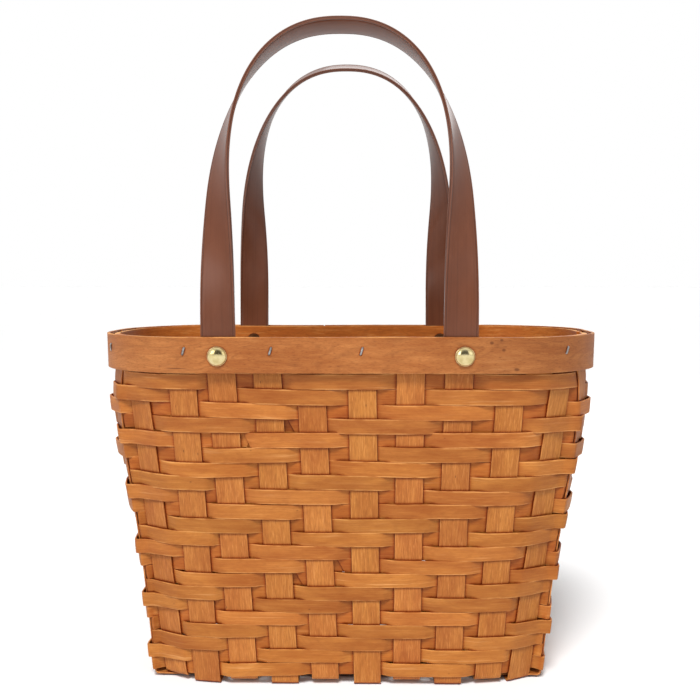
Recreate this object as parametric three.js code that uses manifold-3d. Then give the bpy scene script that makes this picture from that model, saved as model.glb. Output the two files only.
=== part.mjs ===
// A split-wood basket with two strap handles. Flat strips cross in a plain weave under the base and
// turn up into the walls as stakes, narrow strips are woven round them in a 2/2 twill, and two rim
// bands clamp the stakes and the strap ends with rivets and staples.
// Millimetres, +Z up, origin on the floor under the middle of the rim. The front faces -Y.
import * as THREE from "three";
import { mergeVertices } from "three/addons/utils/BufferGeometryUtils.js";
import Module from "manifold-3d";

const wasm = await Module();
wasm.setup();

// Body: the rim sizes run to the middle of the stakes' thickness
const bodyHeight = 198;
const rimLength = 277;
const rimDepth = 130;
const rimCornerRadius = 54;

// The two end walls swell outward below the rim bands, the more sharply the higher the power
const endSwell = 3.6;
const swellPower = 4;

// Base strips: the strips across run front to back, the strips along run left to right. The base
// stands a little to the left of the rim's middle, and the first and last strips across turn up
// sooner, which rounds its corners
const crossStrips = 10;
const longStrips = 4;
const stakeWidth = 15;
const stripThickness = 0.9;
const crossStripGap = 7.6;
const longStripGap = 5;
const endMargin = 1.3;
const frontMargin = 11.5;
const foldRadius = 2;
const baseLayerGap = 0.4;
const baseMiddle = -1.3;
const cornerFootInset = 8.5;

// Each cross strip stands a little off its even place in the base and at the front and back rim,
// measured along X
const baseShift = [4, 0, -1.5, -1.2, -1, 0, -0.5, 0, 0, -4];
const frontShift = [-6.05, -1.2, -5.4, -6.3, -8.65, -6.35, -5.5, -4.9, -1.8, 5.3];
const backShift = [-2.9, -2.2, -0.1, -0.7, -1.45, -2.15, -4.9, -6.5, -3.4, 0.95];

// Woven rows, counted from the rim down: a row passes inside two stakes, then outside two, and
// each row starts one stake further on, with one stake skipped below the first rows. The top row
// is wider than the bottom row by the taper
const weaverRows = 22;
const twill = { stakesInFront: 2, stakesBehind: 2, firstStake: 2, rowsAboveSkip: 4 };
const rowTaper = 0.8;
const rowGap = 0.4;
const weaveGap = 0.3;
const stakeEdgeMargin = 0.6;
const hoopEndGap = 0.6;

// Rim
const bandHeight = 20.5;
const outerBandThickness = 1.8;
const innerBandThickness = 3.4;
const innerBandGap = 0.5;
const endBandGap = 0.5;
const cornerBandShare = 0.5;
const stakeTopDrop = 2;
const fitGap = 0.3;

// Strap handles: each leg stands on one stake, and the arch turns its face upward on the way to the top
const strapStrips = { left: 2, right: 7 };
const strapWidth = 18.5;
const strapThickness = 2;
const strapTuck = 19.5;
const hingeRise = 3;
const bendGap = 0.9;
const handleHeight = 166.8;
const handleStraight = 66;
const archSquareness = 2.32;
const archInset = 21;
const archDrop = { front: 0, back: 4.6 };
const archTwist = { front: THREE.MathUtils.degToRad(102), back: THREE.MathUtils.degToRad(108.7) };
const twistEase = 1.32;
const archSteps = 40;

// Rivets and staples: a few stand off the middle of their stakes, by stake number, measured along the wall
const rivetDrop = 10.8;
const rivetShift = { 2: -1, 7: 2.2 };
const rivetHeadRadius = 5.3;
const rivetHeadHeight = 2.2;
const rivetEdge = 0.6;
const rivetShankRadius = 1.6;
const rivetTailRadius = 4.2;
const rivetTailHeight = 1;
const stapleDrop = 8;
const stapleShift = { 1: 3.4, 3: 2.7, 9: -3.1 };
const stapleCrown = 5;
const stapleWire = 0.8;
const stapleTilt = THREE.MathUtils.degToRad(17);
const roundSides = 12;
const domeSteps = 4;

// Twist that one flat facet of a stake may take before the stake gets another section, the facets
// of a swelled stake, the least turn that keeps a section, and the distance within which corners are
// one corner
const facetTwist = THREE.MathUtils.degToRad(1.5);
const swellSteps = 22;
const leastTurn = 0.001;
const sameCorner = 0.0001;

const finishes = {
  stake: { color: 0xc98748, roughness: 0.6, metalness: 0 },
  weaver: { color: 0xc27c3f, roughness: 0.6, metalness: 0 },
  rim: { color: 0xc68245, roughness: 0.55, metalness: 0 },
  strap: { color: 0x73483a, roughness: 0.5, metalness: 0 },
  brass: { color: 0xcfb36a, roughness: 0.25, metalness: 0.9 },
  steel: { color: 0xb8babd, roughness: 0.35, metalness: 0.9 },
};

const basket = new THREE.Group();
const up = new THREE.Vector3(0, 0, 1);

function addPiece(name, geometry, finish) {
  const mesh = new THREE.Mesh(geometry, new THREE.MeshStandardMaterial(finish));
  mesh.name = name;
  basket.add(mesh);
  return mesh;
}

function numbered(name, index) {
  return `${name}_${String(index + 1).padStart(2, "0")}`;
}

// A flat strip through cross-sections that each have a centre, the direction along the strip, the
// direction across it, a width and a thickness
function stripGeometry(sections) {
  const positions = [];
  for (const { centre, along, across, width, thickness } of sections) {
    const face = new THREE.Vector3().crossVectors(along, across).normalize();
    for (const [w, f] of [[-1, -1], [1, -1], [1, 1], [-1, 1]]) {
      const corner = centre.clone();
      corner.addScaledVector(across, (w * width) / 2);
      corner.addScaledVector(face, (f * thickness) / 2);
      positions.push(...corner);
    }
  }
  const last = (sections.length - 1) * 4;
  const triangles = [0, 3, 2, 0, 2, 1, last, last + 1, last + 2, last, last + 2, last + 3];
  for (let ring = 0; ring < last; ring += 4) {
    for (let side = 0; side < 4; side += 1) {
      const a = ring + side;
      const b = ring + ((side + 1) % 4);
      triangles.push(a, b, b + 4, a, b + 4, a + 4);
    }
  }
  const geometry = new THREE.BufferGeometry();
  geometry.setAttribute("position", new THREE.Float32BufferAttribute(positions, 3));
  geometry.setIndex(triangles);
  return geometry;
}

// Leaves out the sections that lie on a straight, unturned run between their neighbours
function withoutStraightMiddles(sections) {
  const isTurn = (section, index) => {
    const before = sections[index - 1];
    const after = sections[index + 1];
    if (!before || !after) return true;
    const inward = section.centre.clone().sub(before.centre).normalize();
    const outward = after.centre.clone().sub(section.centre).normalize();
    const turned = before.across.angleTo(after.across);
    return inward.angleTo(outward) > leastTurn || turned > leastTurn;
  };
  return sections.filter(isTurn);
}

function solidOf(geometry) {
  const plain = geometry.clone();
  plain.deleteAttribute("normal");
  plain.deleteAttribute("uv");
  const merged = mergeVertices(plain, sameCorner);
  const mesh = new wasm.Mesh({
    numProp: 3,
    vertProperties: new Float32Array(merged.attributes.position.array),
    triVerts: new Uint32Array(merged.index.array),
  });
  return new wasm.Manifold(mesh);
}

function cutBy(geometry, tools) {
  let solid = solidOf(geometry);
  for (const tool of tools) solid = solid.subtract(solidOf(tool));
  const { numProp, vertProperties, triVerts } = solid.getMesh();
  const cut = new THREE.BufferGeometry();
  cut.setAttribute("position", new THREE.Float32BufferAttribute(vertProperties, numProp));
  cut.setIndex(new THREE.Uint32BufferAttribute(triVerts, 1));
  return cut;
}

// The base mat
const lowLevel = stripThickness / 2;
const midLevel = lowLevel + stripThickness + baseLayerGap;
const highLevel = midLevel + stripThickness + baseLayerGap;
const crossPitch = stakeWidth + crossStripGap;
const longPitch = stakeWidth + longStripGap;
const baseHalfLength = ((crossStrips - 1) * crossPitch + stakeWidth) / 2 + endMargin;
const baseHalfDepth = ((longStrips - 1) * longPitch + stakeWidth) / 2 + frontMargin;
const crossPlace = (strip) => {
  const even = (strip - (crossStrips - 1) / 2) * crossPitch;
  return baseMiddle + even + (baseShift[strip] ?? 0);
};
const longPlace = (strip) => (strip - (longStrips - 1) / 2) * longPitch;
const footDepth = (cross) => {
  const isOutermost = cross === 0 || cross === crossStrips - 1;
  return baseHalfDepth - (isOutermost ? cornerFootInset : 0);
};
const crossLevel = (cross, long) => ((cross + long) % 2 === 1 ? lowLevel : highLevel);
const wallFoot = highLevel + foldRadius;

// The stakes are numbered round the basket: front from left to right, right, back, left
const stakeCount = 2 * (crossStrips + longStrips);
const backStake = (cross) => 2 * crossStrips + longStrips - 1 - cross;
const rightStake = (long) => crossStrips + long;
const leftStake = (long) => stakeCount - 1 - long;

const cornerX = rimLength / 2 - rimCornerRadius;
const cornerY = rimDepth / 2 - rimCornerRadius;
const rimLoop = new THREE.Path()
  .moveTo(0, -rimDepth / 2)
  .lineTo(cornerX, -rimDepth / 2)
  .absarc(cornerX, -cornerY, rimCornerRadius, -Math.PI / 2, 0)
  .lineTo(rimLength / 2, cornerY)
  .absarc(cornerX, cornerY, rimCornerRadius, 0, Math.PI / 2)
  .lineTo(-cornerX, rimDepth / 2)
  .absarc(-cornerX, cornerY, rimCornerRadius, Math.PI / 2, Math.PI)
  .lineTo(-rimLength / 2, -cornerY)
  .absarc(-cornerX, -cornerY, rimCornerRadius, Math.PI, 1.5 * Math.PI)
  .lineTo(0, -rimDepth / 2);
const rimPitch = rimLoop.getLength() / stakeCount;

function makeStake(index, foot, footAlong, level, { shift = 0, swell = 0 }) {
  const distance = (index - (crossStrips - 1) / 2) * rimPitch + shift;
  const place = THREE.MathUtils.euclideanModulo(distance / rimLoop.getLength(), 1);
  const topPoint = rimLoop.getPoint(place);
  const topAlong = rimLoop.getTangent(place);
  return {
    swell,
    foldTop: level + foldRadius,
    foot: new THREE.Vector3(foot[0], foot[1], wallFoot),
    footAlong: new THREE.Vector3(footAlong[0], footAlong[1], 0),
    top: new THREE.Vector3(topPoint.x, topPoint.y, bodyHeight),
    topAlong: new THREE.Vector3(topAlong.x, topAlong.y, 0),
  };
}

const stakes = [];
for (let cross = 0; cross < crossStrips; cross += 1) {
  const x = crossPlace(cross);
  const back = backStake(cross);
  const frontLevel = crossLevel(cross, 0);
  const backLevel = crossLevel(cross, longStrips - 1);
  const frontMove = { shift: frontShift[cross] ?? 0 };
  const backMove = { shift: -(backShift[cross] ?? 0) };
  stakes[cross] = makeStake(cross, [x, -footDepth(cross)], [1, 0], frontLevel, frontMove);
  stakes[back] = makeStake(back, [x, footDepth(cross)], [-1, 0], backLevel, backMove);
}
for (let long = 0; long < longStrips; long += 1) {
  const y = longPlace(long);
  const right = rightStake(long);
  const left = leftStake(long);
  const move = { swell: endSwell };
  stakes[right] = makeStake(right, [baseMiddle + baseHalfLength, y], [0, 1], midLevel, move);
  stakes[left] = makeStake(left, [baseMiddle - baseHalfLength, y], [0, -1], midLevel, move);
}

// How far an end wall has swelled at a height, as a share of the most, and the slope of that curve
const bandFoot = bodyHeight - bandHeight;
const swellPeak = swellPower / (swellPower + 1);
const swellScale = 1 / (swellPeak ** swellPower * (1 - swellPeak));
const swellRise = (z) => THREE.MathUtils.clamp((z - wallFoot) / (bandFoot - wallFoot), 0, 1);
const swellAt = (z) => swellScale * swellRise(z) ** swellPower * (1 - swellRise(z));
const swellSlope = (z) => {
  const rise = swellRise(z);
  if (rise >= 1) return 0;
  const slope = rise ** (swellPower - 1) * (swellPower - (swellPower + 1) * rise);
  return (swellScale * slope) / (bandFoot - wallFoot);
};

// Where a stake is at a height: its centre, the way round the basket, up the wall and out of it
function stakeFrame(index, z) {
  const { foot, footAlong, top, topAlong, swell } = stakes[index];
  const rise = (z - foot.z) / (top.z - foot.z);
  const leg = top.clone().sub(foot);
  const level = new THREE.Vector3().crossVectors(footAlong, up);
  const centre = foot.clone().addScaledVector(leg, rise).addScaledVector(level, swell * swellAt(z));
  const climb = leg.clone().addScaledVector(level, swell * swellSlope(z) * (top.z - foot.z));
  const along = footAlong.clone().lerp(topAlong, rise).normalize();
  const out = new THREE.Vector3().crossVectors(along, climb).normalize();
  const upWall = new THREE.Vector3().crossVectors(out, along);
  return { centre, along, upWall, out };
}

// A stake from its top down to the flat of the base
function legSections(index) {
  const { foldTop, footAlong, topAlong, swell } = stakes[index];
  const size = { width: stakeWidth, thickness: stripThickness };
  const twistSteps = Math.ceil(footAlong.angleTo(topAlong) / facetTwist);
  const steps = Math.max(1, twistSteps, swell > 0 ? swellSteps : 0);
  const stakeTop = bodyHeight - stakeTopDrop;
  const bendTop = swell > 0 ? bandFoot : stakeTop;
  const heights = swell > 0 ? [stakeTop] : [];
  for (let step = 0; step <= steps; step += 1) {
    heights.push(THREE.MathUtils.lerp(bendTop, foldTop, step / steps));
  }
  const sections = [];
  for (const z of heights) {
    const { centre, along, upWall } = stakeFrame(index, z);
    sections.push({ centre, along: upWall.negate(), across: along, ...size });
  }
  const out = new THREE.Vector3().crossVectors(footAlong, up);
  for (const bend of [Math.PI / 4, 0]) {
    const { centre } = stakeFrame(index, foldTop);
    centre.addScaledVector(out, foldRadius * (Math.sin(bend) - 1));
    centre.addScaledVector(up, -foldRadius * Math.cos(bend));
    const along = new THREE.Vector3();
    along.addScaledVector(up, -Math.sin(bend));
    along.addScaledVector(out, -Math.cos(bend));
    sections.push({ centre, along, across: footAlong.clone(), ...size });
  }
  return sections;
}

function reversed(sections) {
  const turn = (section) => ({
    ...section,
    along: section.along.clone().negate(),
    across: section.across.clone().negate(),
  });
  return sections.map(turn).reverse();
}

// A cross strip weaves under and over the long strips between its two legs
function crossStripGeometry(cross) {
  const sections = legSections(cross);
  const size = { width: stakeWidth, thickness: stripThickness };
  for (let long = 0; long < longStrips; long += 1) {
    for (const edge of [-1, 1]) {
      const y = longPlace(long) + edge * (stakeWidth / 2 + stakeEdgeMargin);
      const centre = new THREE.Vector3(crossPlace(cross), y, crossLevel(cross, long));
      const along = new THREE.Vector3(0, 1, 0);
      const across = new THREE.Vector3(1, 0, 0);
      sections.push({ centre, along, across, ...size });
    }
  }
  sections.push(...reversed(legSections(backStake(cross))));
  return stripGeometry(sections);
}

function longStripGeometry(long) {
  const left = legSections(leftStake(long));
  const right = reversed(legSections(rightStake(long)));
  return stripGeometry([...left, ...right]);
}

// A strip bent round all the stakes at one height, with its two ends meeting behind one stake
function hoopGeometry({ z, width, thickness, offsetAt, endStake }) {
  const edge = stakeWidth / 2 + stakeEdgeMargin;
  const sectionAt = (index, shift) => {
    const { centre, along, upWall, out } = stakeFrame(index, z);
    centre.addScaledVector(along, shift).addScaledVector(out, offsetAt(index));
    return { centre, along, across: upWall, width, thickness };
  };
  const sections = [sectionAt(endStake, hoopEndGap / 2), sectionAt(endStake, edge)];
  for (let step = 1; step < stakeCount; step += 1) {
    const index = (endStake + step) % stakeCount;
    sections.push(sectionAt(index, -edge), sectionAt(index, edge));
  }
  sections.push(sectionAt(endStake, -edge), sectionAt(endStake, -hoopEndGap / 2));
  return stripGeometry(withoutStraightMiddles(sections));
}

// Places across the rim, measured outward from the middle of a stake
const stakeFace = stripThickness / 2;
const strapMiddle = stakeFace + fitGap + strapThickness / 2;
const outerBandInside = strapMiddle + strapThickness / 2 + fitGap;
const outerBandMiddle = outerBandInside + outerBandThickness / 2;
const outerBandFace = outerBandInside + outerBandThickness;
const innerBandMiddle = -(stakeFace + innerBandGap + innerBandThickness / 2);
const innerBandFace = innerBandMiddle - innerBandThickness / 2;
const bandMiddle = bodyHeight - bandHeight / 2;

const strapStakes = [];
for (const cross of Object.values(strapStrips)) strapStakes.push(cross, backStake(cross));
const isStapled = (index) => index % 2 === 1 && !strapStakes.includes(index);
const stapledStakes = [...stakes.keys()].filter(isStapled);

// The straps hold the outer band off the long walls; it lies close to the end walls
const endBandMiddle = stakeFace + endBandGap + outerBandThickness / 2;
function bandOffset(index) {
  const { swell, footAlong, topAlong } = stakes[index];
  if (swell > 0) return endBandMiddle;
  const onCorner = footAlong.angleTo(topAlong) > facetTwist;
  return THREE.MathUtils.lerp(outerBandMiddle, endBandMiddle, onCorner ? cornerBandShare : 0);
}

// A frame whose Z points out of the wall and whose Y leans from up the wall by the tilt
function wallMatrix(index, z, { tilt = 0, shift = 0 }) {
  const { centre, along, upWall, out } = stakeFrame(index, z);
  centre.addScaledVector(along, shift);
  const y = upWall.clone().applyAxisAngle(out, -tilt);
  const x = along.clone().applyAxisAngle(out, -tilt);
  return new THREE.Matrix4().makeBasis(x, y, out).setPosition(centre);
}

const layersDeep = outerBandFace - innerBandFace;
const layersMiddle = (outerBandFace + innerBandFace) / 2;

function rivetMatrix(index) {
  return wallMatrix(index, bodyHeight - rivetDrop, { shift: rivetShift[index] });
}

function stapleMatrix(index) {
  return wallMatrix(index, bodyHeight - stapleDrop, { tilt: stapleTilt, shift: stapleShift[index] });
}

function rivetBore(index) {
  const radius = rivetShankRadius + fitGap;
  const bore = new THREE.CylinderGeometry(radius, radius, 2 * layersDeep, roundSides);
  bore.rotateX(Math.PI / 2);
  bore.translate(0, 0, layersMiddle);
  return bore.applyMatrix4(rivetMatrix(index));
}

function stapleSlots(index) {
  const side = stapleWire + 2 * fitGap;
  const slotAt = (end) => {
    const slot = new THREE.BoxGeometry(side, side, 2 * layersDeep);
    slot.translate(0, (end * (stapleCrown - stapleWire)) / 2, layersMiddle);
    return slot.applyMatrix4(stapleMatrix(index));
  };
  return [slotAt(-1), slotAt(1)];
}

function cutsThrough(index) {
  if (strapStakes.includes(index)) return [rivetBore(index)];
  if (stapledStakes.includes(index)) return stapleSlots(index);
  return [];
}

function addStakes() {
  for (let cross = 0; cross < crossStrips; cross += 1) {
    const cuts = [...cutsThrough(cross), ...cutsThrough(backStake(cross))];
    addPiece(numbered("cross_stake", cross), cutBy(crossStripGeometry(cross), cuts), finishes.stake);
  }
  for (let long = 0; long < longStrips; long += 1) {
    const cuts = [...cutsThrough(leftStake(long)), ...cutsThrough(rightStake(long))];
    addPiece(numbered("long_stake", long), cutBy(longStripGeometry(long), cuts), finishes.stake);
  }
}

// The rows fill the wall between the folds of the highest base strips and the rim bands
const lowestRowEdge = wallFoot + rowGap;
const highestRowEdge = bandFoot - rowGap;
const meanRowPitch = (highestRowEdge - lowestRowEdge) / weaverRows;

function addWeavers() {
  const repeat = twill.stakesInFront + twill.stakesBehind;
  const firstBack = crossStrips + longStrips;
  const offset = stripThickness + weaveGap;
  let rowTop = highestRowEdge;
  for (let row = 0; row < weaverRows; row += 1) {
    const pitch = meanRowPitch + rowTaper * (0.5 - row / (weaverRows - 1));
    const skipped = row < twill.rowsAboveSkip ? 0 : 1;
    const start = twill.firstStake - row - skipped;
    const placeInTwill = (index) => THREE.MathUtils.euclideanModulo(index - start, repeat);
    const hoop = hoopGeometry({
      z: rowTop - pitch / 2,
      width: pitch - rowGap,
      thickness: stripThickness,
      offsetAt: (index) => (placeInTwill(index) < twill.stakesInFront ? -offset : offset),
      endStake: firstBack + THREE.MathUtils.euclideanModulo(start - firstBack, repeat),
    });
    addPiece(numbered("weaver", row), hoop, finishes.weaver);
    rowTop -= pitch;
  }
}

function addRimBands() {
  const cuts = [...stakes.keys()].flatMap(cutsThrough);
  const band = (offsetAt, thickness) =>
    hoopGeometry({
      z: bandMiddle,
      width: bandHeight,
      thickness,
      offsetAt,
      endStake: crossStrips + longStrips + Math.floor(crossStrips / 2),
    });
  const outer = band(bandOffset, outerBandThickness);
  const inner = band(() => innerBandMiddle, innerBandThickness);
  addPiece("outer_rim_band", cutBy(outer, cuts), finishes.rim);
  addPiece("inner_rim_band", cutBy(inner, cuts), finishes.rim);
}

// The strap flexes just above the rim: its tucked end stays put and the arch turns about that line
function hingePoint(index) {
  const { centre, upWall, out } = stakeFrame(index, bodyHeight);
  return centre.addScaledVector(out, strapMiddle).addScaledVector(upWall, hingeRise);
}

function strapEndGeometry(index) {
  const { along, upWall } = stakeFrame(index, bodyHeight);
  const top = hingePoint(index).addScaledVector(upWall, -(strapThickness / 2 + bendGap));
  const bottom = hingePoint(index).addScaledVector(upWall, -(hingeRise + strapTuck));
  const size = { width: strapWidth, thickness: strapThickness };
  const sectionAt = (centre) => ({ centre, along: upWall, across: along, ...size });
  return cutBy(stripGeometry([sectionAt(bottom), sectionAt(top)]), [rivetBore(index)]);
}

// The arch seen from the front, about the middle of the hinge line: straight legs, a squared round top
class ArchLine extends THREE.Curve {
  constructor(halfSpan, height) {
    super();
    this.halfSpan = halfSpan;
    this.straight = handleStraight;
    this.crown = height - hingeRise - handleStraight;
  }

  getPoint(t, target = new THREE.Vector3()) {
    const legShare = 0.2;
    const side = t < 0.5 ? -1 : 1;
    const climb = 1 - Math.abs(2 * t - 1);
    if (climb < legShare) return target.set(side * this.halfSpan, 0, (this.straight * climb) / legShare);
    const angle = ((climb - legShare) / (1 - legShare)) * (Math.PI / 2);
    const x = side * this.halfSpan * Math.cos(angle) ** (2 / archSquareness);
    const z = this.straight + this.crown * Math.sin(angle) ** (2 / archSquareness);
    return target.set(x, 0, z);
  }
}

function archGeometry(side, leftLeg, rightLeg, inward) {
  const left = hingePoint(leftLeg);
  const right = hingePoint(rightLeg);
  const middle = left.clone().lerp(right, 0.5);
  const line = new ArchLine(right.distanceTo(left) / 2, handleHeight - archDrop[side]);
  line.arcLengthDivisions = 10 * archSteps;
  const halfLength = line.getLength() / 2;
  const { upWall } = stakeFrame(leftLeg, bodyHeight);
  const outwardLean = Math.abs(upWall.y / upWall.z);
  const depth = new THREE.Vector3(0, inward, 0);
  const climbAt = (u) => 1 - Math.abs(2 * u - 1);
  const pointAt = (u) => {
    const climb = climbAt(u);
    const leanOut = outwardLean * halfLength * climb * (1 - climb) ** 2;
    const leanIn = archInset * climb * climb * (3 - 2 * climb);
    return line.getPointAt(u).addScaledVector(depth, leanIn - leanOut).add(middle);
  };
  const sections = [];
  for (let step = 0; step <= archSteps; step += 1) {
    const u = step / archSteps;
    const climb = climbAt(u);
    const nudge = 0.05 / archSteps;
    const ahead = pointAt(Math.min(u + nudge, 1));
    const along = ahead.sub(pointAt(Math.max(u - nudge, 0))).normalize();
    const intoArch = new THREE.Vector3().crossVectors(along, new THREE.Vector3(0, -1, 0)).normalize();
    const sideways = new THREE.Vector3().crossVectors(intoArch, along).multiplyScalar(inward);
    const twist = archTwist[side] * Math.sin((climb * Math.PI) / 2) ** twistEase;
    const across = intoArch.multiplyScalar(Math.cos(twist)).addScaledVector(sideways, Math.sin(twist));
    sections.push({ centre: pointAt(u), along, across, width: strapWidth, thickness: strapThickness });
  }
  return stripGeometry([...roundedEnd(sections[0], -1), ...sections, ...roundedEnd(sections.at(-1), 1)]);
}

// Half-round end of the arch, centred on the hinge line
function roundedEnd(section, way) {
  const radius = strapThickness / 2;
  const angles = [80, 55, 28].map(THREE.MathUtils.degToRad);
  const sections = angles.map((angle) => ({
    ...section,
    centre: section.centre.clone().addScaledVector(section.along, way * radius * Math.sin(angle)),
    thickness: strapThickness * Math.cos(angle),
  }));
  return way < 0 ? sections : sections.reverse();
}

function rivetGeometry(index) {
  const tail = innerBandFace - fitGap;
  const seat = outerBandFace + fitGap;
  const profile = [
    [0, tail - rivetTailHeight],
    [rivetTailRadius, tail - rivetTailHeight],
    [rivetTailRadius, tail],
    [rivetShankRadius, tail],
    [rivetShankRadius, seat],
    [rivetHeadRadius, seat],
  ];
  for (let step = 0; step <= domeSteps; step += 1) {
    const angle = (step / domeSteps) * (Math.PI / 2);
    const height = rivetEdge + (rivetHeadHeight - rivetEdge) * Math.sin(angle);
    profile.push([rivetHeadRadius * Math.cos(angle), seat + height]);
  }
  const points = profile.map(([radius, height]) => new THREE.Vector2(Math.max(0, radius), height));
  const rivet = new THREE.LatheGeometry(points, roundSides);
  rivet.rotateX(Math.PI / 2);
  return rivet.applyMatrix4(rivetMatrix(index));
}

function stapleGeometry(index) {
  const half = stapleCrown / 2;
  const inside = half - stapleWire;
  const crown = bandOffset(index) + outerBandThickness / 2 + fitGap;
  const tips = innerBandFace + fitGap;
  const outline = new THREE.Shape();
  outline.moveTo(-half, tips);
  outline.lineTo(-inside, tips);
  outline.lineTo(-inside, crown);
  outline.lineTo(inside, crown);
  outline.lineTo(inside, tips);
  outline.lineTo(half, tips);
  outline.lineTo(half, crown + stapleWire);
  outline.lineTo(-half, crown + stapleWire);
  const staple = new THREE.ExtrudeGeometry(outline, { depth: stapleWire, bevelEnabled: false });
  staple.translate(0, 0, -stapleWire / 2);
  const turn = new THREE.Matrix4().makeBasis(
    new THREE.Vector3(0, 1, 0),
    new THREE.Vector3(0, 0, 1),
    new THREE.Vector3(1, 0, 0),
  );
  return staple.applyMatrix4(turn).applyMatrix4(stapleMatrix(index));
}

function addHandle(side, leftLeg, rightLeg, inward) {
  const arch = archGeometry(side, leftLeg, rightLeg, inward);
  addPiece(`${side}_handle_strap`, arch, finishes.strap);
  for (const [end, index] of [["left", leftLeg], ["right", rightLeg]]) {
    addPiece(`${side}_strap_end_${end}`, strapEndGeometry(index), finishes.strap);
    addPiece(`${side}_rivet_${end}`, rivetGeometry(index), finishes.brass);
  }
}

addStakes();
addWeavers();
addRimBands();
addHandle("front", strapStrips.left, strapStrips.right, 1);
addHandle("back", backStake(strapStrips.left), backStake(strapStrips.right), -1);
stapledStakes.forEach((stake, index) => {
  addPiece(numbered("rim_staple", index), stapleGeometry(stake), finishes.steel);
});

export default basket;
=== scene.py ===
import bisect
import math
import random

import bpy
from mathutils import Matrix, Vector, noise


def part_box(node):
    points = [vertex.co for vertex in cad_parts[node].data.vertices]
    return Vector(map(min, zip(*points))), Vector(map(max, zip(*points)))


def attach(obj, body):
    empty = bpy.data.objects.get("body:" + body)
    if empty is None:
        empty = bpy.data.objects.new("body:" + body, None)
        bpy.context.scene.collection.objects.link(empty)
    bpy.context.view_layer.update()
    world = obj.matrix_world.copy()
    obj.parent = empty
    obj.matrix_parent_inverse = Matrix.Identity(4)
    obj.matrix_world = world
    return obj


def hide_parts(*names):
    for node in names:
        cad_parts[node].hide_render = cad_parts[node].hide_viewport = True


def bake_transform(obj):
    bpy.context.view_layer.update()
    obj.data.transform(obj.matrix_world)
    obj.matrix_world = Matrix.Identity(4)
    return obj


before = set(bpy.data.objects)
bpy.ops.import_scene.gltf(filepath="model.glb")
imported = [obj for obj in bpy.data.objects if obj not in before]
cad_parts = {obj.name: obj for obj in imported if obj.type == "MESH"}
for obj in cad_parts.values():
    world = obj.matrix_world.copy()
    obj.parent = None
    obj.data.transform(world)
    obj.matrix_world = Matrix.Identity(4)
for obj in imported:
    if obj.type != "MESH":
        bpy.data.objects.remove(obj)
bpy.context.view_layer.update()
bpy.ops.object.select_all(action="DESELECT")
print("frame loaded:", len(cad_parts), "nodes")

mm = 0.001
upward = Vector((0, 0, 1))
chance = random.Random(41)

# camera, where the photograph was taken from
cameraPlace = {
    "location": (0.0077, -0.610, 0.2296),
    "pitch": -4.16,  # degrees, down
    "yaw": 0.76,
    "sensor": 36,
    "lens": 52.66,
    "clipStart": 0.01,
}
bpy.ops.object.camera_add(location=cameraPlace["location"])
camera = bpy.context.object
camera.rotation_euler = (
    math.radians(90 + cameraPlace["pitch"]),
    0,
    math.radians(cameraPlace["yaw"]),
)
camera.data.sensor_width = cameraPlace["sensor"]
camera.data.lens = cameraPlace["lens"]
camera.data.clip_start = cameraPlace["clipStart"]
bpy.context.scene.camera = camera
print("camera placed")


# small helpers for shader nodes
def addNode(tree, kind, **settings):
    node = tree.nodes.new(kind)
    for key, value in settings.items():
        setattr(node, key, value)
    return node


def feed(tree, value, socket):
    # a number or colour is set on the socket, an output is linked to it
    if isinstance(value, (int, float, tuple)):
        socket.default_value = value
    else:
        tree.links.new(value, socket)


def mathNode(tree, operation, *values):
    node = addNode(tree, "ShaderNodeMath", operation=operation)
    for value, socket in zip(values, node.inputs):
        feed(tree, value, socket)
    return node.outputs[0]


def times(tree, first, second):
    return mathNode(tree, "MULTIPLY", first, second)


def rangeNode(tree, value, low, high, toLow=0, toHigh=1):
    # toLow up to low, toHigh from high on, eased between
    node = addNode(tree, "ShaderNodeMapRange", interpolation_type="SMOOTHSTEP")
    for given, socket in zip((value, low, high, toLow, toHigh), node.inputs):
        feed(tree, given, socket)
    return node.outputs["Result"]


def mixNode(tree, factor, first, second, blendType="MIX"):
    node = addNode(tree, "ShaderNodeMix", data_type="RGBA", blend_type=blendType)
    colours = [socket for socket in node.inputs if socket.type == "RGBA"]
    for value, socket in zip((factor, first, second), (node.inputs["Factor"], *colours)):
        feed(tree, value, socket)
    return [socket for socket in node.outputs if socket.type == "RGBA"][0]


def noiseNode(tree, vector, scale, detail, roughness, distortion=0):
    node = addNode(tree, "ShaderNodeTexNoise")
    labels = ("Vector", "Scale", "Detail", "Roughness", "Distortion")
    for label, value in zip(labels, (vector, scale, detail, roughness, distortion)):
        feed(tree, value, node.inputs[label])
    return node.outputs["Fac"]


def attributeNode(tree, name):
    return addNode(tree, "ShaderNodeAttribute", attribute_name=name).outputs["Fac"]


def stripPlace(tree):
    # metres along and across a strip, from its own UV map, and the strip's seed
    parts = addNode(tree, "ShaderNodeSeparateXYZ")
    feed(tree, addNode(tree, "ShaderNodeUVMap", uv_map="grain").outputs[0], parts.inputs[0])
    return parts.outputs["X"], parts.outputs["Y"], attributeNode(tree, "stripSeed")


def stretch(tree, place, alongScale, acrossScale):
    seedStep = 13.7
    joined = addNode(tree, "ShaderNodeCombineXYZ")
    for value, scale, socket in zip(place, (alongScale, acrossScale, seedStep), joined.inputs):
        feed(tree, times(tree, value, scale), socket)
    return joined.outputs[0]


def stripNoise(tree, place, alongScale, acrossScale, *settings):
    return noiseNode(tree, stretch(tree, place, alongScale, acrossScale), 1, *settings)


def addBump(tree, shader, height, strength, depth):
    bump = addNode(tree, "ShaderNodeBump")
    for label, value in (("Height", height), ("Strength", strength), ("Distance", depth)):
        feed(tree, value, bump.inputs[label])
    feed(tree, bump.outputs["Normal"], shader.inputs["Normal"])


def newMaterial(name):
    material = bpy.data.materials.new(name)
    material.use_nodes = True
    return material, material.node_tree, material.node_tree.nodes["Principled BSDF"]


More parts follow.
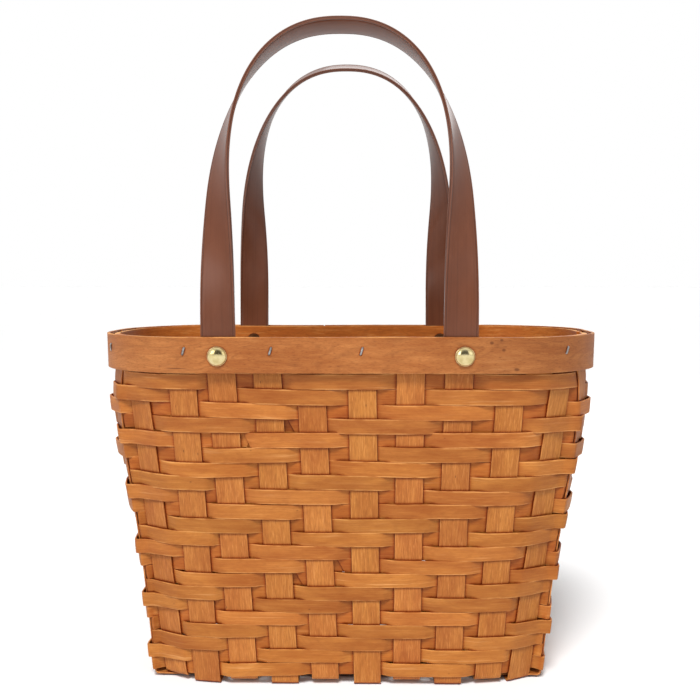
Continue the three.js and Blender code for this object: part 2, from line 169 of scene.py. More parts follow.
def rgb(red, green, blue):
    # an sRGB colour, made linear
    def linear(value):
        share = value / 255
        return share / 12.92 if share <= 0.04045 else ((share + 0.055) / 1.055) ** 2.4

    return (linear(red), linear(green), linear(blue), 1)


# floor and soft studio light
studio = {
    "floor": {"size": 40, "cuts": 8, "drop": 0.1 * mm, "roughness": 0.9, "specular": 0.1},
    "floorTones": (0.94, 0.96),
    "floorNoise": (3, 2, 0.5),
    "floorRange": (0.2, 0.8),
    "roomGrey": 0.24,  # what the room gives as light; seen or mirrored, it is white
    "darkFront": 0.12,  # what is mirrored from the side of the camera
    "frontEdge": (-0.96, -0.6),  # where that side turns white, -1 being straight ahead of the basket
    "sun": {"tilt": 36, "turn": -8, "strength": 3.2, "spread": 18},  # degrees off straight down, to the left
    "aim": (0, 0, 0.15),
    "lamps": {
        "key": {"place": (-0.75, -1.15, 0.55), "size": 0.6, "power": 3.3},
        "fill": {"place": (0.85, -1.15, 0.50), "size": 0.6, "power": 1.0},
        "rear": {"place": (0.3, 1.3, 0.9), "size": 0.9, "power": 3.0},
    },
}
for lampName, values in studio["lamps"].items():
    bpy.ops.object.light_add(type="AREA", location=values["place"])
    lamp = bpy.context.object
    lamp.name = lampName + "Light"
    lamp.data.size = values["size"]
    lamp.data.energy = values["power"]
    aim = Vector(studio["aim"]) - lamp.location
    lamp.rotation_euler = aim.to_track_quat("-Z", "Y").to_euler()
bpy.ops.object.light_add(type="SUN")
sun = bpy.context.object
sun.name = "ceilingLight"
sun.rotation_euler = (math.radians(studio["sun"]["tilt"]), 0, math.radians(studio["sun"]["turn"]))
sun.data.energy = studio["sun"]["strength"]
sun.data.angle = math.radians(studio["sun"]["spread"])
sun.visible_glossy = False  # it lights, but leaves no hot spot on brass

world = bpy.data.worlds.new("studioWhite")
world.use_nodes = True
worldTree = world.node_tree
roomLight = worldTree.nodes["Background"]
backdrop = addNode(worldTree, "ShaderNodeBackground")
for light in (roomLight, backdrop):
    light.inputs["Color"].default_value = (1, 1, 1, 1)
roomLight.inputs["Strength"].default_value = studio["roomGrey"]
heading = addNode(worldTree, "ShaderNodeSeparateXYZ")
feed(worldTree, addNode(worldTree, "ShaderNodeTexCoord").outputs["Generated"], heading.inputs[0])
mirrored = rangeNode(worldTree, heading.outputs["Y"], *studio["frontEdge"], studio["darkFront"])
rays = addNode(worldTree, "ShaderNodeLightPath").outputs
shine = mathNode(worldTree, "MAXIMUM", rays["Is Camera Ray"], mirrored)
feed(worldTree, shine, backdrop.inputs["Strength"])
whiteFor = mathNode(worldTree, "MAXIMUM", rays["Is Camera Ray"], rays["Is Glossy Ray"])
seen = addNode(worldTree, "ShaderNodeMixShader")
for source, socket in zip((whiteFor, roomLight.outputs[0], backdrop.outputs[0]), seen.inputs):
    feed(worldTree, source, socket)
feed(worldTree, seen.outputs[0], worldTree.nodes["World Output"].inputs["Surface"])
bpy.context.scene.world = world
bpy.context.scene.view_settings.view_transform = "Standard"

bpy.ops.mesh.primitive_grid_add(
    x_subdivisions=studio["floor"]["cuts"],
    y_subdivisions=studio["floor"]["cuts"],
    size=studio["floor"]["size"],
)
floor = bpy.context.object
floor.name = "studioFloor"
floor.location.z = -studio["floor"]["drop"]
floorMaterial, floorTree, floorShader = newMaterial("floorPaper")
floorSpot = addNode(floorTree, "ShaderNodeTexCoord").outputs["Object"]
floorMottle = noiseNode(floorTree, floorSpot, *studio["floorNoise"])
floorTone = rangeNode(floorTree, floorMottle, *studio["floorRange"], *studio["floorTones"])
feed(floorTree, floorTone, floorShader.inputs["Base Color"])
floorShader.inputs["Roughness"].default_value = studio["floor"]["roughness"]
floorShader.inputs["Specular IOR Level"].default_value = studio["floor"]["specular"]
floor.data.materials.append(floorMaterial)
print("floor and lights placed")

# split wood: one grain for all woods, along and across each strip
grainStyle = {
    "noises": {  # scale along and across, detail, roughness, distortion
        "patch": (15, 45, 2, 0.5),
        "cloud": (55, 260, 4, 0.6),
        "pore": (420, 3600, 2, 0.6),
        "scuff": (34, 700, 3, 0.6),
        "swirl": (13, 42, 2, 0.45, 0.6),
    },
    "lineNoise": (1, 1, 2.5, 0.65, 0.7),  # on each wood's own line pitch and length
    "speckScale": (90, 210),
    "rings": 95,  # bands of a flat-cut figure, bent along the strip
    "cloudShare": 0.45,  # of the warmth, the rest is patch
    "ranges": {  # where a mark starts to show and where it is full
        "warm": (0.28, 0.72),
        "figure": (0.1, 1.0),
        "figureBreaks": (0.38, 0.62),
        "line": (0.47, 0.62),
        "lightLine": (0.46, 0.34),
        "pore": (0.5, 0.68),
        "scuff": (0.56, 0.76),
        "scuffPatches": (0.45, 0.62),
        "speck": (0.085, 0.03),
        "speckShare": (0.8, 0.84),
        "edge": (0.45 * mm, 0.05 * mm),
        "edgeBreaks": (0.42, 0.6, 0.1, 1.0),
    },
    "light": rgb(222, 158, 92),
    # paler rubbed patches: partly wear, partly a painted sheen
    "rubbedSheen": rgb(224, 167, 108),
    "speck": rgb(66, 34, 18),
    "speckStrength": 0.6,
    # pale cut edges, also a painted highlight on strip edges and the bands' top faces
    "cutEdgeAndHighlight": rgb(231, 167, 100),
    # painted shade where a weaver lies behind or against a stake
    "tuckShade": (0.83, 0.57, 0.36, 1),
    "tuckShadeStrength": 0.55,
    "hueStep": 3.7,
    "hueSpan": (0.005, 0.4985),
    "rough": (0.25, 0.44),
    "height": {"line": 0.7, "pore": 0.5, "cloud": 0.4},
}


def addSockets(group, side, kind, *labels):
    for label in labels:
        group.interface.new_socket(label, in_out=side, socket_type="NodeSocket" + kind)


def buildSplitGrain():
    style = grainStyle
    group = bpy.data.node_groups.new("splitGrain", "ShaderNodeTree")
    marks = ("Line", "Pore", "Figure", "Light", "Scuff", "Edge")
    addSockets(group, "INPUT", "Color", "Pale", "Warm", "Deep")
    addSockets(group, "INPUT", "Float", "Half Width", "Line Pitch", "Line Length")
    addSockets(group, "INPUT", "Float", *[mark + " Strength" for mark in marks])
    addSockets(group, "OUTPUT", "Color", "Colour")
    addSockets(group, "OUTPUT", "Float", "Roughness", "Height")
    given = addNode(group, "NodeGroupInput").outputs
    made = addNode(group, "NodeGroupOutput").inputs

    def mask(value, name):
        return rangeNode(group, value, *style["ranges"][name])

    place = stripPlace(group)
    along, across, seed = place
    noises = {name: stripNoise(group, place, *values) for name, values in style["noises"].items()}
    patch, cloud, pore = noises["patch"], noises["cloud"], noises["pore"]
    lineAlong = mathNode(group, "DIVIDE", along, given["Line Length"])
    lineAcross = mathNode(group, "DIVIDE", across, given["Line Pitch"])
    line = stripNoise(group, (lineAlong, lineAcross, seed), *style["lineNoise"])
    figure = mathNode(group, "SINE", times(group, noises["swirl"], style["rings"]))
    figure = times(group, mask(figure, "figure"), mask(cloud, "figureBreaks"))
    # paler rubbed patches, partly wear and partly a painted sheen
    rubbedSheen = times(group, mask(noises["scuff"], "scuff"), mask(patch, "scuffPatches"))

    # sparse pin specks
    specks = addNode(group, "ShaderNodeTexVoronoi", feature="F1")
    feed(group, stretch(group, place, *style["speckScale"]), specks.inputs["Vector"])
    specks.inputs["Scale"].default_value = 1
    speckColour = addNode(group, "ShaderNodeSeparateColor")
    feed(group, specks.outputs["Color"], speckColour.inputs[0])
    speck = mask(specks.outputs["Distance"], "speck")
    speck = times(group, speck, mask(speckColour.outputs[0], "speckShare"))

    # cut edges are paler, and rubbed here and there; the pale edge is also a painted highlight along every
    # strip's edges and on the rim bands' top faces
    reach = mathNode(group, "SUBTRACT", given["Half Width"], mathNode(group, "ABSOLUTE", across))
    edge = times(group, mask(reach, "edge"), mask(cloud, "edgeBreaks"))

    patches = times(group, patch, 1 - style["cloudShare"])
    warmth = mathNode(group, "MULTIPLY_ADD", cloud, style["cloudShare"], patches)
    colour = mixNode(group, mask(warmth, "warm"), given["Warm"], given["Pale"])
    for shown, strength, tint in (
        (figure, given["Figure Strength"], given["Deep"]),
        (mask(line, "line"), given["Line Strength"], given["Deep"]),
        (mask(pore, "pore"), given["Pore Strength"], given["Deep"]),
        (mask(line, "lightLine"), given["Light Strength"], style["light"]),
        (rubbedSheen, given["Scuff Strength"], style["rubbedSheen"]),
        (speck, style["speckStrength"], style["speck"]),
        (edge, given["Edge Strength"], style["cutEdgeAndHighlight"]),
    ):
        colour = mixNode(group, times(group, shown, strength), colour, tint)

    # painted shade: darker and redder where a weaver lies behind or against the stakes, eased where it dips
    # under
    tuck = times(group, attributeNode(group, "stripTuckShade"), style["tuckShadeStrength"])
    colour = mixNode(group, tuck, colour, style["tuckShade"], "MULTIPLY")

    # each strip has its own tone and a slight hue
    toned = addNode(group, "ShaderNodeHueSaturation")
    hue = mathNode(group, "FRACT", times(group, seed, style["hueStep"]))
    feed(group, mathNode(group, "MULTIPLY_ADD", hue, *style["hueSpan"]), toned.inputs["Hue"])
    feed(group, attributeNode(group, "stripTone"), toned.inputs["Value"])
    feed(group, colour, toned.inputs["Color"])
    feed(group, toned.outputs[0], made["Colour"])

    feed(group, mathNode(group, "MULTIPLY_ADD", cloud, *style["rough"]), made["Roughness"])
    height = times(group, pore, style["height"]["pore"])
    height = mathNode(group, "MULTIPLY_ADD", line, style["height"]["line"], height)
    height = mathNode(group, "MULTIPLY_ADD", cloud, style["height"]["cloud"], height)
    feed(group, height, made["Height"])
    return group


splitGrain = buildSplitGrain()

# the woods: bump is strength and depth, and the gap reach is how far the painted shade of a narrow gap shows
woodFinish = {
    "specular": 0.22,
    "gapShadeSamples": 6,
    "gapShades": (  # painted shade in narrow gaps: openness where it starts and is full, from and to its strength, colour
        ((0.98, 0.6, 0, 1), (0.84, 0.56, 0.36, 1)),
        ((0.9, 0.5, 0, 0.95), (0.42, 0.17, 0.06, 1)),
    ),
    "darkMark": rgb(84, 42, 22),
    "darkMarkRange": (1.0, 0.3),
}
woodValues = {
    "weaverWood": {
        "colours": {"Pale": rgb(190, 120, 55), "Warm": rgb(151, 80, 29), "Deep": rgb(118, 54, 18)},
        "sizes": {"Half Width": 3.8 * mm, "Line Pitch": 0.8 * mm, "Line Length": 26 * mm},
        "marks": {"Line": 0.1, "Pore": 0.2, "Figure": 0.12, "Light": 0.12, "Scuff": 0.42, "Edge": 0.45},
        "bump": (0.35, 0.10 * mm),
        "gapShadeReach": 1.7 * mm,
    },
    "stakeWood": {
        "colours": {"Pale": rgb(190, 121, 57), "Warm": rgb(160, 89, 37), "Deep": rgb(112, 56, 22)},
        "sizes": {"Half Width": 7.5 * mm, "Line Pitch": 0.6 * mm, "Line Length": 6.5 * mm},
        "marks": {"Line": 0.26, "Pore": 0.24, "Figure": 0.08, "Light": 0.24, "Scuff": 0.2, "Edge": 0.3},
        "bump": (0.45, 0.12 * mm),
        "gapShadeReach": 1.7 * mm,
    },
    "rimWood": {
        "colours": {"Pale": rgb(186, 119, 65), "Warm": rgb(149, 83, 37), "Deep": rgb(102, 50, 21)},
        "sizes": {"Half Width": 10.25 * mm, "Line Pitch": 1.3 * mm, "Line Length": 12 * mm},
        "marks": {"Line": 0.12, "Pore": 0.5, "Figure": 0.28, "Light": 0.08, "Scuff": 0.22, "Edge": 0.6},
        "bump": (0.35, 0.10 * mm),
        "gapShadeReach": 2.0 * mm,
        "knotsAndShadePatches": (  # mm along and across the band, half sizes and strength; the first two are broad patches of painted shade over the right front corner and, faintly, the left front corner, the rest knots
            (450, 0, 75, 60, 0.24),
            (232, 0, 40, 60, 0.08),
            (417.8, 7.2, 1.6, 1.2, 0.7),
            (423, 8.8, 1.3, 1.0, 0.7),
            (424.2, 3.2, 1.4, 1.2, 0.65),
            (423, 6.4, 4.6, 3.6, 0.16),
            (431.1, -7.8, 1.9, 1.3, 0.7),
            (249.9, -7.4, 7.5, 0.4, 0.7),
        ),
    },
    # painted shade: the inside band has the outside band's wood, coloured a deeper, more saturated orange
    # for the shade inside the basket
    "rimWoodInside": {
        "colours": {"Pale": rgb(190, 108, 46), "Warm": rgb(176, 91, 34), "Deep": rgb(110, 50, 18)},
        "sizes": {"Half Width": 10.25 * mm, "Line Pitch": 1.3 * mm, "Line Length": 16 * mm},
        "marks": {"Line": 0.2, "Pore": 0.4, "Figure": 0.15, "Light": 0.2, "Scuff": 0.2, "Edge": 0.9},
        "bump": (0.35, 0.10 * mm),
        "gapShadeReach": 2.0 * mm,
    },
}


def woodMaterial(name):
    values = woodValues[name]
    material, tree, shader = newMaterial(name)
    grain = addNode(tree, "ShaderNodeGroup", node_tree=splitGrain)
    for label, value in (*values["colours"].items(), *values["sizes"].items()):
        grain.inputs[label].default_value = value
    for mark, strength in values["marks"].items():
        grain.inputs[mark + " Strength"].default_value = strength
    # painted shade: ambient occlusion darkens and reddens the colour in the narrow gaps and contacts between
    # strips
    gap = addNode(tree, "ShaderNodeAmbientOcclusion", samples=woodFinish["gapShadeSamples"])
    gap.inputs["Distance"].default_value = values["gapShadeReach"]
    colour = grain.outputs["Colour"]
    for limits, shadeTint in woodFinish["gapShades"]:
        colour = mixNode(tree, rangeNode(tree, gap.outputs["AO"], *limits), colour, shadeTint, "MULTIPLY")
    uvMap = addNode(tree, "ShaderNodeUVMap", uv_map="grain")
    # knots, and broad patches of painted shade, darken the colour inside ellipses on the band
    for along, across, halfLength, halfHeight, strength in values.get("knotsAndShadePatches", ()):
        moved = addNode(tree, "ShaderNodeMapping", vector_type="TEXTURE")
        moved.inputs["Location"].default_value = (along * mm, across * mm, 0)
        moved.inputs["Scale"].default_value = (halfLength * mm, halfHeight * mm, 1)
        feed(tree, uvMap.outputs[0], moved.inputs["Vector"])
        reach = addNode(tree, "ShaderNodeVectorMath", operation="LENGTH")
        feed(tree, moved.outputs[0], reach.inputs[0])
        darkMark = times(tree, rangeNode(tree, reach.outputs["Value"], *woodFinish["darkMarkRange"]), strength)
        colour = mixNode(tree, darkMark, colour, woodFinish["darkMark"])
    feed(tree, colour, shader.inputs["Base Color"])
    feed(tree, grain.outputs["Roughness"], shader.inputs["Roughness"])
    shader.inputs["Specular IOR Level"].default_value = woodFinish["specular"]
    addBump(tree, shader, grain.outputs["Height"], *values["bump"])
    return material


woods = {name: woodMaterial(name) for name in woodValues}

# strap leather: fine streaks, a dark line of painted shade along the pressed groove inside each edge, and a
# lighter painted edge outside it
leatherStyle = {
    "halfWidth": 9.25 * mm,
    "cloudNoise": (40, 70, 3, 0.5),
    "streakNoise": (14, 1300, 3, 0.6),
    "tanRange": (0.3, 0.7),
    "tans": (rgb(98, 54, 34), rgb(106, 61, 41)),
    "pressedInset": 1.1 * mm,
    # where each mark starts and is full, from and to its strength, and its colour
    "streak": ((0.45, 0.7, 0, 0.3), rgb(76, 42, 27)),
    "pressedShade": ((0.35 * mm, 0.08 * mm, 0, 0.6), rgb(56, 30, 20)),
    "edge": ((0.5 * mm, 0.1 * mm, 0, 0.5), rgb(118, 80, 66)),
    "core": ((0.5, 0.15, 0, 0.7), rgb(60, 32, 22)),
    "rough": (0.03, 0.27),
    "specular": 0.27,
}


def leatherMaterial():
    style = leatherStyle
    material, tree, shader = newMaterial("strapLeather")
    place = stripPlace(tree)
    cloud = stripNoise(tree, place, *style["cloudNoise"])
    reach = mathNode(tree, "SUBTRACT", style["halfWidth"], mathNode(tree, "ABSOLUTE", place[1]))
    # painted shade: darker along the pressed groove near each edge
    pressedShade = mathNode(tree, "SUBTRACT", reach, style["pressedInset"])
    colour = mixNode(tree, rangeNode(tree, cloud, *style["tanRange"]), *style["tans"])
    for mark, value in (
        ("streak", stripNoise(tree, place, *style["streakNoise"])),
        ("pressedShade", mathNode(tree, "ABSOLUTE", pressedShade)),
        ("edge", reach),
        ("core", mathNode(tree, "ABSOLUTE", attributeNode(tree, "strapFace"))),
    ):
        limits, tint = style[mark]
        colour = mixNode(tree, rangeNode(tree, value, *limits), colour, tint)
    feed(tree, colour, shader.inputs["Base Color"])
    feed(tree, mathNode(tree, "MULTIPLY_ADD", cloud, *style["rough"]), shader.inputs["Roughness"])
    shader.inputs["Specular IOR Level"].default_value = style["specular"]
    return material


strapLeather = leatherMaterial()

# metals: scuffed and slightly tarnished, darker where they end inside the basket
metalFinish = {
    "scuffNoise": (4, 0.65),
    "tarnishNoise": (2, 0.5),
    "tarnishRange": (0.35, 0.7),
    "insideRough": 0.25,
    "bump": (0.12, 0.05 * mm),
}


def metalMaterial(name, values):
    style = metalFinish
    material, tree, shader = newMaterial(name)
    spot = addNode(tree, "ShaderNodeTexCoord").outputs["Object"]
    scuff = noiseNode(tree, spot, values["scuffScale"], *style["scuffNoise"])
    tarnish = noiseNode(tree, spot, values["tarnishScale"], *style["tarnishNoise"])
    inside = attributeNode(tree, "insideEnd")
    dulled = rangeNode(tree, tarnish, *style["tarnishRange"])
    colour = mixNode(tree, dulled, values["bright"], values["dull"])
    colour = mixNode(tree, inside, colour, values["inside"])
    rough = mathNode(tree, "MULTIPLY_ADD", scuff, values["scuffRough"], values["roughness"])
    rough = mathNode(tree, "MULTIPLY_ADD", inside, style["insideRough"], rough)
    feed(tree, colour, shader.inputs["Base Color"])
    feed(tree, rough, shader.inputs["Roughness"])
    shader.inputs["Metallic"].default_value = 1
    addBump(tree, shader, scuff, *style["bump"])
    return material


rivetBrass = metalMaterial("rivetBrass", {
    "bright": rgb(226, 209, 158),
    "dull": rgb(203, 183, 127),
    "inside": rgb(88, 54, 32),
    "roughness": 0.1,
    "scuffRough": 0.12,
    "scuffScale": 900,
    "tarnishScale": 240,
})
stapleSteel = metalMaterial("stapleSteel", {
    "bright": rgb(172, 170, 168),
    "dull": rgb(118, 114, 110),
    "inside": rgb(96, 94, 92),
    "roughness": 0.22,
    "scuffRough": 0.22,
    "scuffScale": 1500,
    "tarnishScale": 500,
})
print("materials made")

# the basket's own form, with the sizes that the solids have
basketForm = {
    "height": 198 * mm,
    "rimLength": 277 * mm,
    "rimDepth": 130 * mm,
    "cornerRadius": 54 * mm,
    "crossStrips": 10,
    "longStrips": 4,
    "baseMiddle": -1.3 * mm,
    "halfLength": 110.5 * mm,
    "halfDepth": 49 * mm,
    "cornerTurn": ((8.5 * mm, 30), (1.8 * mm, 10)),  # inset and degrees of the outer cross strips' feet
    "crossPitch": 22.6 * mm,
    "longPitch": 20 * mm,
    "wallFoot": 5.05 * mm,
    "bandFoot": 177.5 * mm,
    "levels": (0.45 * mm, 1.75 * mm, 3.05 * mm),  # low, middle and high strips of the base
    "endSwell": 3.6 * mm,
    "swellPower": 4,
    "baseShift": (4, 0, -1.5, -1.2, -1, 0, -0.5, 0, 0, -4),  # mm, each cross strip off its even place
    "frontShift": (-6.05, -1.2, -5.4, -6.3, -8.65, -6.35, -5.5, -4.9, -1.8, 5.3),
    "backShift": (-2.9, -2.2, -0.1, -0.7, -1.45, -2.15, -4.9, -6.5, -3.4, 0.95),
}
crossCount = basketForm["crossStrips"]
longCount = basketForm["longStrips"]
stakeCount = 2 * (crossCount + longCount)  # numbered from the front's left end, round by the right


def backStake(cross):
    return stakeCount - longCount - 1 - cross


def rightStake(long):
    return crossCount + long


def leftStake(long):
    return stakeCount - 1 - long


def rimPoint(distance):
    # length of the whole rim, a point on it counted from the front's middle, and the way along
    radius = basketForm["cornerRadius"]
    halfX = basketForm["rimLength"] / 2 - radius
    halfY = basketForm["rimDepth"] / 2 - radius
    quarter = math.pi * radius / 2
    runs = (
        (halfX, (0, -halfY - radius), 0, 0),
        (quarter, (halfX, -halfY), -90, radius),
        (2 * halfY, (halfX + radius, -halfY), 90, 0),
        (quarter, (halfX, halfY), 0, radius),
        (2 * halfX, (halfX, halfY + radius), 180, 0),
        (quarter, (-halfX, halfY), 90, radius),
        (2 * halfY, (-halfX - radius, halfY), 270, 0),
        (quarter, (-halfX, -halfY), 180, radius),
        (halfX, (-halfX, -halfY - radius), 0, 0),
    )
    whole = sum(run[0] for run in runs)
    left = distance % whole
    for length, start, heading, bend in runs:
        if left <= length:
            break
        left -= length
    angle = math.radians(heading)
    if bend:
        angle += left / bend
        point = Vector((start[0] + bend * math.cos(angle), start[1] + bend * math.sin(angle), 0))
        return whole, point, Vector((-math.sin(angle), math.cos(angle), 0))
    way = Vector((math.cos(angle), math.sin(angle), 0))
    return whole, Vector((start[0], start[1], 0)) + way * left, way


def crossPlace(cross):
    even = (cross - (crossCount - 1) / 2) * basketForm["crossPitch"]
    return basketForm["baseMiddle"] + even + basketForm["baseShift"][cross] * mm


def longPlace(long):
    return (long - (longCount - 1) / 2) * basketForm["longPitch"]


def crossLevel(cross, long):
    return basketForm["levels"][0] if (cross + long) % 2 else basketForm["levels"][2]


def setStake(index, foot, footAlong, level, shift=0, swell=0):
    distance = (index - (crossCount - 1) / 2) * rimPoint(0)[0] / stakeCount + shift
    _, top, topAlong = rimPoint(distance)
    top.z = basketForm["height"]
    stakes[index] = {
        "distance": distance,
        "foot": Vector((foot[0], foot[1], basketForm["wallFoot"])),
        "footAlong": Vector((footAlong[0], footAlong[1], 0)),
        "top": top,
        "topAlong": topAlong,
        "level": level,
        "swell": swell,
    }


stakes = [None] * stakeCount
for cross in range(crossCount):
    x = crossPlace(cross)
    fromEnd = min(cross, crossCount - 1 - cross)
    turns = basketForm["cornerTurn"]
    inset, turn = turns[fromEnd] if fromEnd < len(turns) else (0, 0)
    depth = basketForm["halfDepth"] - inset
    ahead = math.cos(math.radians(turn))
    aside = math.sin(math.radians(turn)) * (-1 if cross == fromEnd else 1)
    shift = basketForm["frontShift"][cross] * mm
    setStake(cross, (x, -depth), (ahead, aside), crossLevel(cross, 0), shift)
    shift = -basketForm["backShift"][cross] * mm
    setStake(backStake(cross), (x, depth), (-ahead, aside), crossLevel(cross, longCount - 1), shift)
for long in range(longCount):
    for index, way in ((rightStake(long), 1), (leftStake(long), -1)):
        foot = (basketForm["baseMiddle"] + way * basketForm["halfLength"], longPlace(long))
        setStake(index, foot, (0, way), basketForm["levels"][1], swell=basketForm["endSwell"])


def swellAt(z):
    # share of the end walls' swell at a height, and its slope
    power = basketForm["swellPower"]
    peak = power / (power + 1)
    scale = 1 / (peak ** power * (1 - peak))
    span = basketForm["bandFoot"] - basketForm["wallFoot"]
    rise = min(max((z - basketForm["wallFoot"]) / span, 0), 1)
    slope = 0 if rise >= 1 else scale * rise ** (power - 1) * (power - (power + 1) * rise) / span
    return scale * rise ** power * (1 - rise), slope


def stakeFrame(index, z):
    # centre of a stake at a height, the way round the basket, up the wall and out of it
    stake = stakes[index % stakeCount]
    tall = stake["top"].z - stake["foot"].z
    rise = (z - stake["foot"].z) / tall
    leg = stake["top"] - stake["foot"]
    level = stake["footAlong"].cross(upward)
    swelled, slope = swellAt(z)
    centre = stake["foot"] + leg * rise + level * stake["swell"] * swelled
    climb = leg + level * stake["swell"] * slope * tall
    along = stake["footAlong"].lerp(stake["topAlong"], rise).normalized()
    out = along.cross(climb).normalized()
    return centre, along, out.cross(along), out


def smooth(share):
    share = min(max(share, 0), 1)
    return share * share * (3 - 2 * share)


# the twill, row by row from the top: a row runs behind two stakes and in front of two
twill = {
    "rows": 22,
    "run": 2,
    "firstStake": 2,  # the first row's first stake that lies in front of it
    "slipRow": 4,  # the photo's order slips by one stake at this row
}
rowBoxes = [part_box(f"weaver_{row + 1:02d}") for row in range(twill["rows"])]
rowHeights = [(low.z + high.z) / 2 for low, high in rowBoxes]


def twillStart(row):
    return twill["firstStake"] - row - (0 if row < twill["slipRow"] else 1)


def stakeInFront(row, index):
    return (index - twillStart(row)) % (2 * twill["run"]) < twill["run"]


def stakePillow(index, z, depth):
    # a stake bows out where it lies in front of the weavers and in where it lies behind
    rows = range(twill["rows"])
    signs = [1 if stakeInFront(row, index) else -1 for row in rows]
    eased = []
    for row in rows:
        before = signs[max(row - 1, 0)]
        after = signs[min(row + 1, len(signs) - 1)]
        eased.append((before + 2 * signs[row] + after) / 4)
    places = [basketForm["bandFoot"]] + rowHeights + [basketForm["wallFoot"]]
    values = [0] + eased + [0]
    if z >= places[0] or z <= places[-1]:
        return 0
    for upper in range(len(places) - 1):
        if z >= places[upper + 1]:
            break
    share = (places[upper] - z) / (places[upper] - places[upper + 1])
    return depth * (values[upper] + (values[upper + 1] - values[upper]) * smooth(share))


# making of a strip: a flat grid is laid on its path, thickened and its edges eased
def selectOnly(piece):
    bpy.ops.object.select_all(action="DESELECT")
    piece.select_set(True)
    bpy.context.view_layer.objects.active = piece


def addGrid(name, alongSteps, acrossSteps):
    bpy.ops.object.select_all(action="DESELECT")
    bpy.ops.mesh.primitive_grid_add(x_subdivisions=alongSteps, y_subdivisions=acrossSteps, size=1)
    piece = bpy.context.object
    piece.name = name
    piece.data.name = name
    return piece


def layStrip(piece, place, length, width):
    # place gives the spot for a share along, 0 to 1, and across, -0.5 to 0.5
    mesh = piece.data
    flat = [(vertex.co.x + 0.5, vertex.co.y) for vertex in mesh.vertices]
    for vertex, (u, v) in zip(mesh.vertices, flat):
        vertex.co = place(u, v)
    uvMap = mesh.uv_layers.active
    uvMap.name = "grain"
    for loop in mesh.loops:
        u, v = flat[loop.vertex_index]
        uvMap.data[loop.index].uv = (u * length, v * width)


def crossCup(v):
    # 1 along a strip's middle, 0 at its edges
    return 1 - 4 * v * v


def applyModifier(piece, name):
    bpy.context.view_layer.objects.active = piece
    bpy.ops.object.modifier_apply(modifier=name)


def thicken(piece, thickness):
    wall = piece.modifiers.new("thickness", "SOLIDIFY")
    wall.thickness = thickness
    wall.offset = 0
    wall.use_even_offset = True
    applyModifier(piece, "thickness")


def easeEdges(piece, width, segments=2):
    edge = piece.modifiers.new("easedEdge", "BEVEL")
    edge.width = width
    edge.segments = segments
    edge.limit_method = "ANGLE"
    edge.angle_limit = math.radians(60)
    applyModifier(piece, "easedEdge")
    bpy.ops.object.shade_smooth_by_angle(angle=math.radians(50))
    facing = piece.modifiers.new("flatFaces", "WEIGHTED_NORMAL")
    facing.keep_sharp = True
    applyModifier(piece, "flatFaces")


def stampPoints(piece, name, values):
    attribute = piece.data.attributes.new(name, "FLOAT", "POINT")
    attribute.data.foreach_set("value", values)


def stampStrip(piece, tone, seed):
    for name, value in (("stripTone", tone), ("stripSeed", seed)):
        stampPoints(piece, name, [value] * len(piece.data.vertices))


def stampByChance(piece, tones):
    seeds = (0, 40)
    stampStrip(piece, chance.uniform(*tones), chance.uniform(*seeds))


def putOn(piece, body, material, slot, *nodes):
    piece.data.materials.clear()
    piece.data.materials.append(material)
    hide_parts(*nodes)
    if body:
        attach(piece, body)


class Path:
    # points along a strip with what lies across it, read off by length
    def __init__(self, points):
        self.points = points
        self.lengths = [0]
        for before, after in zip(points, points[1:]):
            self.lengths.append(self.lengths[-1] + (after[0] - before[0]).length)

    def total(self):
        return self.lengths[-1]

    def at(self, length):
        index = min(max(bisect.bisect_right(self.lengths, length) - 1, 0), len(self.points) - 2)
        span = self.lengths[index + 1] - self.lengths[index]
        share = min(max((length - self.lengths[index]) / span, 0), 1)
        pairs = zip(self.points[index], self.points[index + 1])
        return [first.lerp(second, share) for first, second in pairs]


# stakes: ten strips front to back and four left to right, woven flat under the base
stakeStyle = {
    "width": 15 * mm,
    "thickness": 0.9 * mm,
    "easedEdge": 0.18 * mm,
    "topDrop": 1.5 * mm,
    "foldRadius": 2 * mm,
    "legSteps": 84,
    "foldSteps": 7,
    "baseStep": 1.5 * mm,
    "straighten": 20 * mm,
    "acrossSteps": 6,
    "pillow": 0.2 * mm,
    "cup": 0.08 * mm,
    "flatExtra": 0.6 * mm,  # a cross strip stays level this far past a long one's edge
    "longWave": 0.2 * mm,  # a long strip's rise and fall at its crossings, and their reach
    "waveReach": 14 * mm,
    "tones": (0.93, 1.05),
}


def legPoints(index):
    stake = stakes[index]
    top = basketForm["height"] - stakeStyle["topDrop"]
    foldTop = stake["level"] + stakeStyle["foldRadius"]
    points = []
    for step in range(stakeStyle["legSteps"] + 1):
        z = top + (foldTop - top) * step / stakeStyle["legSteps"]
        centre, along, _, out = stakeFrame(index, z)
        centre = centre + out * stakePillow(index, z, stakeStyle["pillow"])
        points.append((centre, along, out))
    centre = stakeFrame(index, foldTop)[0]
    out = stake["footAlong"].cross(upward)
    radius = stakeStyle["foldRadius"]
    for step in range(1, stakeStyle["foldSteps"] + 1):
        bend = math.pi / 2 * (1 - step / stakeStyle["foldSteps"])
        point = centre + out * radius * (math.sin(bend) - 1) - upward * radius * math.cos(bend)
        face = out * math.sin(bend) - upward * math.cos(bend)
        points.append((point, stake["footAlong"].copy(), face))
    return points


def turned(points):
    return [(centre, -across, face) for centre, across, face in reversed(points)]


def basePoints(first, last, heightAt, across):
    # the flat run between two folds; a turned fold straightens out along it
    start, end = first[0], last[0]
    span = (end - start).length
    count = round(span / stakeStyle["baseStep"])
    points = []
    for step in range(1, count):
        share = step / count
        point = start.lerp(end, share)
        point.z = heightAt(point)
        way = first[1].lerp(across, smooth(share * span / stakeStyle["straighten"]))
        way = last[1].lerp(way, smooth((1 - share) * span / stakeStyle["straighten"]))
        points.append((point, way.normalized(), -upward))
    return points


